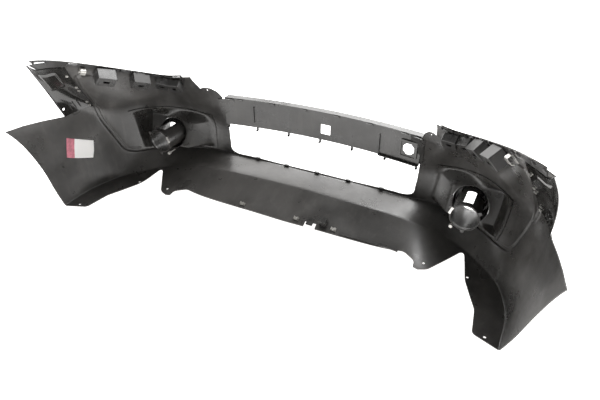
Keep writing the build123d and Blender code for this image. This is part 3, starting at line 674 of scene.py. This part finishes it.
def build_bucket(side, sign):
    """Dish with a rolled floor, ridged tube with its window, notched rear ring, lugs and ribs."""
    centre = (sign * FOG_X, 0, FOG_Z)
    wall, roll = SHEET, 0.010
    r, t = BUCKET_RADIUS, TUBE_RADIUS
    f, b = BUCKET_FRONT, TUBE_REAR
    turns = np.linspace(0, math.pi / 2, 7)
    rise = [(r - roll + roll * math.sin(a), f + roll - roll * math.cos(a)) for a in turns]
    hollow = roll - wall
    inner = [(r - roll + hollow * math.sin(a), f + roll - hollow * math.cos(a)) for a in turns[::-1]]
    rim = [(r, b), (r - wall, b)]
    dish = revolved("dish", [(t + wall, f)] + rise + rim + inner + [(t + wall, f + wall)], centre)
    slope = (-FLOOR_SLOPE_X * sign, 1.0, -FLOOR_SLOPE_Z)
    top = Vector((sign * FOG_X, pocket_floor(FOG_X, FOG_Z) + SHEET + 0.001, FOG_Z))
    out = Vector(slope).normalized()
    side_axis = Vector((1, FLOOR_SLOPE_X * sign, 0)).normalized()
    third = out.cross(side_axis).normalized()
    trim = box_piece("trim", top + out * 0.15, (0.2, 0.15, 0.2), (side_axis, out, third), bevel=0)
    cut(dish, [trim])
    pitch = 0.0055
    profile = [(t, f)]
    y = f + 0.02
    while y < b - 0.012:
        profile += [(t, y), (t + 0.0007, y + 0.0012), (t + 0.0007, y + 0.0026), (t, y + 0.0038)]
        y += pitch
    profile += [(t, b), (t + wall, b), (t + wall, f)]
    tube = revolved("tube", profile, centre)
    window = box_piece("window", (sign * FOG_X, (f + b) / 2 + 0.004, FOG_Z + t),
                       (WINDOW_WIDTH / 2, WINDOW_LENGTH / 2, 0.01), bevel=0.004, segments=3)
    cut(tube, [window])
    ring_outer, ring_deep = t + wall + 0.0025, 0.006
    pieces = [dish, tube]
    third_turn, gap = 2 * math.pi / 3, 0.09
    for start in (0.3, 0.3 + third_turn, 0.3 + 2 * third_turn):
        ring = [(t + wall - 0.0005, b - ring_deep), (ring_outer, b - ring_deep), (ring_outer, b - 0.0008),
                (ring_outer - 0.0008, b), (t + 0.0008, b), (t + wall - 0.0005, b - 0.001)]
        pieces.append(revolved("ring", ring, centre, 40, start + gap, start + third_turn - gap))
    for turn in (30, 150, 270):
        a = math.radians(turn)
        away = Vector((math.cos(a) * sign, 0, math.sin(a)))
        along = Vector((-math.sin(a) * sign, 0, math.cos(a)))
        lug = box_piece("lug", Vector(centre) + away * (t + wall + 0.0065) + Vector((0, b - 0.002, 0)),
                        (0.0055, 0.002, 0.0065), (away, (0, 1, 0), along), bevel=0.0012)
        pieces.append(lug)
    for turn in range(0, 315, 45):
        a = math.radians(turn + 135)
        away = Vector((math.cos(a) * sign, 0, math.sin(a)))
        along = Vector((-math.sin(a) * sign, 0, math.cos(a)))
        rib = box_piece("rib", Vector(centre) + away * (t + wall + 0.0022) + Vector((0, f + 0.016, 0)),
                        (0.0026, 0.0135, 0.0008), (away, (0, 1, 0), along), bevel=0.0004)
        pieces.append(rib)
    obj = join(f"fog_bucket_{side}_detail", pieces)
    finish_shade(obj)
    add_piece(obj, "pocket_plastic", f"fog_bucket_{side}")


for side, sign in (("left", 1), ("right", -1)):
    build_bezel(side, sign)
    build_bucket(side, sign)


# ---------------------------------------------------------------- side brackets
BRACKET_REAR = [(815, -8, 551), (838, -52, 482), (849, -88, 412), (851, -110, 360), (851, -133, 308)]
BRACKET_ROWS = (0.37, 2.03)
BRACKET_FRONT = (5.99, 6.72)
BRACKET_LAP = 7.1
BRACKET_HOLE, BRACKET_HOLE_SIZE = (0.86, 0.12), 0.009    # place along and across, and width
GAP = 0.0004


def bracket_grid(sign, along, across):
    rear = np.array([[sign * x / 1000, y / 1000 + DATUM_Y, z / 1000] for x, y, z in BRACKET_REAR])
    rear = natural_spline(np.linspace(0, 1, len(rear)), rear, along)
    rows = BRACKET_ROWS[0] + (BRACKET_ROWS[1] - BRACKET_ROWS[0]) * along
    fronts = BRACKET_FRONT[0] + (BRACKET_FRONT[1] - BRACKET_FRONT[0]) * along
    grid = []
    for tail, row, front in zip(rear, rows, fronts):
        lapped = zip(np.linspace(BRACKET_LAP, front, 4), (4 * GAP, 3 * GAP, 3 * GAP, 2 * GAP))
        ribbon = np.array([tail, *[raised(sign * s, row, height) for s, height in lapped]])
        run = np.concatenate([[0], np.cumsum(np.linalg.norm(np.diff(ribbon, axis=0), axis=1))])
        grid.append(natural_spline(run / run[-1], ribbon, across))
    return np.array(grid)


def build_side_bracket(side, sign):
    """Glossy fender bracket: raised pad, thickened rim, low ribs and one square hole."""
    along = np.linspace(0, 1, 130)
    across = np.linspace(0, 1, 90)
    grid = bracket_grid(sign, along, across)
    normal = grid_normals(grid)
    normal *= -np.sign(normal[..., 0:1] * sign)
    u, v = np.meshgrid(across, along)
    pad = crisp_ramp((v - 0.12) / 0.04) * crisp_ramp((0.46 - v) / 0.04)
    pad *= crisp_ramp((u - 0.16) / 0.05) * crisp_ramp((0.66 - u) / 0.05)
    rim = 1 - crisp_ramp(u / 0.05)
    height = 0.0026 * pad + 0.0018 * rim
    base = grid + normal * height[..., None]
    obj = shell(f"side_bracket_{side}_shell", base, base + normal * SHEET)
    fix_normals(obj)
    spot = bracket_grid(sign, *np.array([BRACKET_HOLE]).T)[0, 0]
    half = BRACKET_HOLE_SIZE / 2
    cut(obj, [box_piece("slot", spot, (0.025, half, half), bevel=0.002, segments=3)])
    pieces = [obj]
    for step in range(3):
        ends = bracket_grid(sign, np.array([0.93, 0.78]), np.array([0.34 + 0.14 * step]))[:, 0]
        run = Vector(ends[1] - ends[0])
        middle = Vector((ends[0] + ends[1]) / 2) + Vector((-sign * 0.0045, 0, 0))
        side_axis = Vector((sign, 0, 0))
        third = run.cross(side_axis).normalized()
        side_axis = third.cross(run).normalized()
        pieces.append(box_piece("rib", middle, (0.0028, run.length / 2, 0.0010), (side_axis, run, third),
                                bevel=0.0004))
    obj = join(f"side_bracket_{side}_detail", pieces)
    finish_shade(obj, 32)
    add_piece(obj, "bracket_plastic", f"side_bracket_{side}")


# ---------------------------------------------------------------- headlamp retainers
SLOT_ROW = 0.12
RETAINER_STATIONS = (3.02, 7.08)
RETAINER_SLOTS = (3.2, 3.55, 3.92, 4.3, 4.6, 5.62, 6.7)


def build_retainer(side, sign):
    """Slotted strip along the lamp edge, with a small stop rib at each slot's ends."""
    stations = np.linspace(*RETAINER_STATIONS, 260) * sign
    rows = np.linspace(0.0, 0.34, 26)
    grid = surface(stations, rows)
    normal = grid_normals(grid)
    normal *= -np.sign((normal * (grid - np.array([0, 0.25, 0.4]))).sum(-1, keepdims=True))
    base = grid + normal * 0.0006
    obj = shell(f"retainer_{side}_strip", base, base + normal * SHEET)
    fix_normals(obj)
    cutters = []
    pieces = []
    for station in RETAINER_SLOTS:
        spot = points_at([sign * station], [SLOT_ROW])[0]
        ends = points_at([sign * station + 0.1, sign * station - 0.1], [SLOT_ROW] * 2)
        across = Vector(ends[0] - ends[1]).normalized()
        out = Vector(inward([sign * station], [SLOT_ROW])[0])
        third = out.cross(across).normalized()
        cutters.append(box_piece("slot", spot, (0.016, 0.012, 0.005), (across, out, third), bevel=0.001))
        for end in (-0.0185, 0.0185):
            pieces.append(box_piece("stop", Vector(spot) + across * end + out * 0.0052,
                                    (0.0011, 0.0022, 0.0075), (across, out, third), bevel=0.0004))
    cut(obj, cutters)
    joined = join(f"retainer_{side}_detail", [obj] + pieces)
    finish_shade(joined, 32)
    add_piece(joined, "retainer_plastic", f"headlamp_retainer_{side}")


for side, sign in (("left", 1), ("right", -1)):
    build_side_bracket(side, sign)
    build_retainer(side, sign)


# ---------------------------------------------------------------- label
LABEL_CORNERS = np.array([(8.17, 3.12), (7.28, 3.62), (7.5, 4.42), (8.42, 3.9)])
BAND_SHARE = 0.3


def build_label():
    """Paper label; its first share across is a plain coloured band."""
    across, down = np.linspace(0, 1, 60), np.linspace(0, 1, 36)
    a, d = across[:, None], down[:, None, None]
    top = LABEL_CORNERS[0] + (LABEL_CORNERS[1] - LABEL_CORNERS[0]) * a
    foot = LABEL_CORNERS[3] + (LABEL_CORNERS[2] - LABEL_CORNERS[3]) * a
    places = top + (foot - top) * d
    flat = places.reshape(-1, 2)
    points = points_at(flat[:, 0], flat[:, 1]).reshape(*places.shape[:2], 3)
    out = inward(flat[:, 0], flat[:, 1]).reshape(points.shape)
    base = points + out * 0.0002
    obj = shell("label_sheet", base, base + out * 0.00045)
    fix_normals(obj)
    add_piece(obj, "label_paper", "label")
    band = moulded("paper_band", (0.62, 0.19, 0.25), 0.6, mottle=0.25, scale=60)
    obj.data.materials.append(band)
    count = len(across)
    for face in obj.data.polygons:
        column = face.vertices[0] % (len(down) * count) % count
        face.material_index = 1 if column < BAND_SHARE * count else 0


build_label()


# ---------------------------------------------------------------- studio
FLOOR_GLOW = 1.15
YAW, PITCH = 0.45945, 0.57572
CAMERA_PLACE = (-0.7657, 1.1446 + DATUM_Y, 1.1445)
LENS = 32.3


def build_floor():
    """White floor, faintly lit from below as a light table is, so no shadow is left on it."""
    verts = [(-20, -25, 0), (20, -25, 0), (20, 20, 0), (-20, 20, 0)]
    floor = link("studio_floor", verts, [(0, 1, 2, 3)], smooth=False)
    floor.location.z = -0.0006
    mat = bpy.data.materials.new("studio_white")
    mat.use_nodes = True
    nodes, links = mat.node_tree.nodes, mat.node_tree.links
    shader = nodes["Principled BSDF"]
    coords = nodes.new("ShaderNodeTexCoord")
    noise = nodes.new("ShaderNodeTexNoise")
    noise.inputs["Scale"].default_value = 1.5
    tone = nodes.new("ShaderNodeMapRange")
    tone.inputs["To Min"].default_value = 0.90
    tone.inputs["To Max"].default_value = 0.93
    links.new(coords.outputs["Object"], noise.inputs["Vector"])
    links.new(noise.outputs["Fac"], tone.inputs["Value"])
    links.new(tone.outputs["Result"], shader.inputs["Base Color"])
    shader.inputs["Roughness"].default_value = 0.7
    shader.inputs["Specular IOR Level"].default_value = 0.2
    shader.inputs["Emission Color"].default_value = (1.0, 0.985, 0.965, 1)
    shader.inputs["Emission Strength"].default_value = FLOOR_GLOW
    floor.data.materials.append(mat)
    floor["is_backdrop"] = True


def build_world():
    """Dim studio, brighter ahead of the object."""
    world = bpy.data.worlds.new("studio")
    SCENE.world = world
    world.use_nodes = True
    nodes, links = world.node_tree.nodes, world.node_tree.links
    coords = nodes.new("ShaderNodeTexCoord")
    split = nodes.new("ShaderNodeSeparateXYZ")
    links.new(coords.outputs["Generated"], split.inputs["Vector"])
    ahead = nodes.new("ShaderNodeMapRange")
    ahead.interpolation_type = "SMOOTHSTEP"
    ahead.inputs["From Min"].default_value = 0.35
    ahead.inputs["From Max"].default_value = -0.75
    ahead.inputs["To Min"].default_value = 0.16
    ahead.inputs["To Max"].default_value = 1.3
    links.new(split.outputs["Y"], ahead.inputs["Value"])
    links.new(ahead.outputs["Result"], nodes["Background"].inputs["Strength"])
    nodes["Background"].inputs["Color"].default_value = (1.0, 0.99, 0.97, 1)


def area_light(name, location, target, size, power):
    data = bpy.data.lights.new(name, "AREA")
    data.shape = "RECTANGLE"
    data.size, data.size_y = size
    data.energy = power
    obj = bpy.data.objects.new(name, data)
    obj.location = location
    obj.rotation_mode = "QUATERNION"
    obj.rotation_quaternion = (Vector(target) - Vector(location)).to_track_quat("-Z", "Y")
    SCENE.collection.objects.link(obj)


def overhead_light(direction, strength, spread):
    """Wide soft light from far away, so the floor is evenly lit."""
    data = bpy.data.lights.new("overhead", "SUN")
    data.energy = strength
    data.angle = math.radians(spread)
    obj = bpy.data.objects.new("overhead", data)
    obj.rotation_mode = "QUATERNION"
    obj.rotation_quaternion = (-Vector(direction)).to_track_quat("-Z", "Y")
    SCENE.collection.objects.link(obj)


SCENE.view_settings.view_transform = "Standard"
build_floor()
build_world()
low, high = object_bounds()
middle = (Vector(low) + Vector(high)) / 2
overhead_light((-0.10, -0.40, 0.91), 2.6, 40)
area_light("strip", middle + Vector((1.1, -2.4, 1.7)), middle, (3.0, 0.5), 70)

camera_data = bpy.data.cameras.new("camera")
camera_data.lens = LENS
camera_data.sensor_width = 36
camera = bpy.data.objects.new("camera", camera_data)
SCENE.collection.objects.link(camera)
aim = Vector((math.sin(YAW) * math.cos(PITCH), -math.cos(YAW) * math.cos(PITCH), -math.sin(PITCH)))
camera.location = CAMERA_PLACE
camera.rotation_mode = "QUATERNION"
camera.rotation_quaternion = aim.to_track_quat("-Z", "Y")
camera_data.clip_start, camera_data.clip_end = 0.01, 100
SCENE.camera = camera
